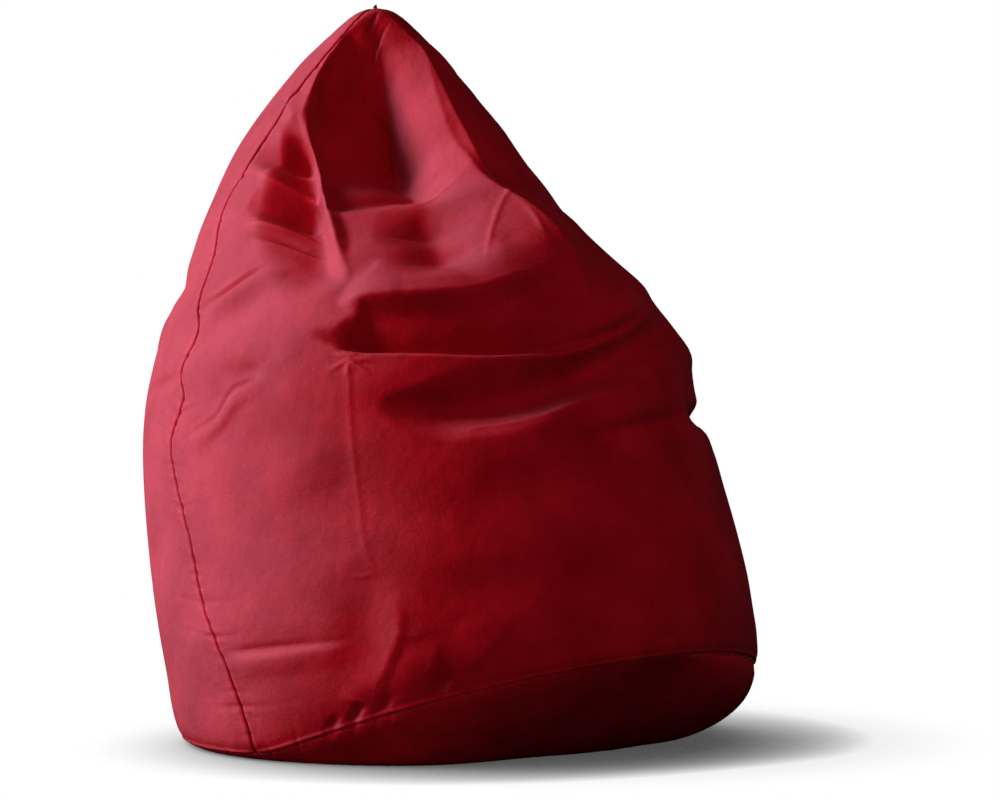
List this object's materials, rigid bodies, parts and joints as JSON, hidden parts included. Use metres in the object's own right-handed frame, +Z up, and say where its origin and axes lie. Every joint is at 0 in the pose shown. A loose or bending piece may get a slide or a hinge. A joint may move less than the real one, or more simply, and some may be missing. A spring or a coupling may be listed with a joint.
{
  "type": "bean bag chair",
  "caption": "Leaning teardrop bean bag chair in plain woven cloth, with side seams, a base seam, a filling zip, an inner liner and loose bead fill.",
  "frame": {"origin": "on the floor, under the middle of the bag's box", "axes": "+Z up, -Y the way the sitter faces, +Y the way the tip leans, +X towards the side seam with the zip"},
  "size_m": [0.7912, 0.8391, 1.0004],
  "materials": {
    "cover_cloth": "plain woven canvas, deep red",
    "seam_thread": "polyester sewing thread, dark red",
    "zip_tape": "woven polyester tape, dark red",
    "zip_teeth": "moulded teeth, dark red",
    "zip_metal": "nickel-plated",
    "liner_cloth": "thin non-woven cloth, off-white",
    "liner_thread": "polyester sewing thread, white",
    "beads": "expanded polystyrene beads, white"
  },
  "bodies": {
    "bag": {"front_panel": "cover_cloth", "back_panel": "cover_cloth", "base_panel": "cover_cloth", "left_seam_thread": "seam_thread", "right_seam_thread": "seam_thread", "base_seam_thread": "seam_thread", "liner_front_panel": "liner_cloth", "liner_back_panel": "liner_cloth", "liner_base_panel": "liner_cloth", "liner_left_thread": "liner_thread", "liner_right_thread": "liner_thread", "liner_base_thread": "liner_thread", "bead_fill": "beads", "zip_front_tape": "zip_tape", "zip_back_tape": "zip_tape", "zip_front_teeth": "zip_teeth", "zip_back_teeth": "zip_teeth", "zip_lower_stop": "zip_metal", "zip_upper_stop": "zip_metal"},
    "slider": {"zip_slider": "zip_metal"},
    "pull_tab": {"zip_pull_tab": "zip_metal"}
  },
  "joints": [
    {"name": "zip_slide", "type": "slide", "parent": "bag", "child": "slider", "axis": [-0.0673, 0.2244, 0.9722], "range_m": [0, 0.3513]},
    {"name": "pull_tab_swing", "type": "hinge", "parent": "slider", "child": "pull_tab", "pos_m": [0.39453, -0.02487, 0.11202], "axis": [0, -0.9744, 0.225], "range_deg": [0, 170]}
  ]
}
